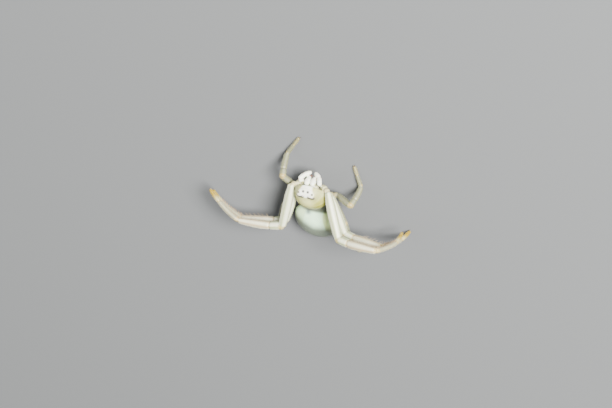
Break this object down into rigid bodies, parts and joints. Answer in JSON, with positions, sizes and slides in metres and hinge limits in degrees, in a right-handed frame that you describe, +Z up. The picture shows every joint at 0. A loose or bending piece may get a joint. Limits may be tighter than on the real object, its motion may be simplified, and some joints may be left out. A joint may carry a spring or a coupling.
{
  "type": "crab spider",
  "caption": "White crab spider, a still life-size model crouched in its ambush pose with the long front legs held out sideways.",
  "frame": {"origin": "bottom centre of the bounding box, on the plane the feet rest on", "axes": "+Z up, -Y the way the spider faces, +X to its left, along the span of the front legs"},
  "size_m": [0.0212, 0.0126, 0.0064],
  "materials": {
    "carapace": "satin",
    "abdomen": "satin",
    "leg": "satin",
    "leg_tip": "satin",
    "mouthparts": "gloss",
    "eye": "gloss"
  },
  "bodies": {
    "root": {"carapace": "carapace", "sternum": "leg", "pedicel": "carapace", "abdomen": "abdomen", "spinnerets": "carapace", "chelicera_left": "mouthparts", "palp_left_femur": "leg", "palp_left_tarsus": "leg", "chelicera_right": "mouthparts", "palp_right_femur": "leg", "palp_right_tarsus": "leg", "eye_front_inner_left": "eye", "eye_front_inner_right": "eye", "eye_front_outer_left": "eye", "eye_front_outer_right": "eye", "eye_rear_inner_left": "eye", "eye_rear_inner_right": "eye", "eye_rear_outer_left": "eye", "eye_rear_outer_right": "eye", "leg_left_1_coxa": "leg", "leg_left_1_femur": "leg", "leg_left_1_tibia": "leg", "leg_left_1_metatarsus": "leg", "leg_left_1_tarsus": "leg_tip", "leg_left_2_coxa": "leg", "leg_left_2_femur": "leg", "leg_left_2_tibia": "leg", "leg_left_2_metatarsus": "leg", "leg_left_2_tarsus": "leg_tip", "leg_left_3_coxa": "leg", "leg_left_3_femur": "leg", "leg_left_3_tibia": "leg", "leg_left_3_tarsus": "leg_tip", "leg_left_4_coxa": "leg", "leg_left_4_femur": "leg", "leg_left_4_tibia": "leg", "leg_left_4_tarsus": "leg_tip", "leg_right_1_coxa": "leg", "leg_right_1_femur": "leg", "leg_right_1_tibia": "leg", "leg_right_1_metatarsus": "leg", "leg_right_1_tarsus": "leg_tip", "leg_right_2_coxa": "leg", "leg_right_2_femur": "leg", "leg_right_2_tibia": "leg", "leg_right_2_metatarsus": "leg", "leg_right_2_tarsus": "leg_tip", "leg_right_3_coxa": "leg", "leg_right_3_femur": "leg", "leg_right_3_tibia": "leg", "leg_right_3_tarsus": "leg_tip", "leg_right_4_coxa": "leg", "leg_right_4_femur": "leg", "leg_right_4_tibia": "leg", "leg_right_4_tarsus": "leg_tip"}
  },
  "joints": []
}
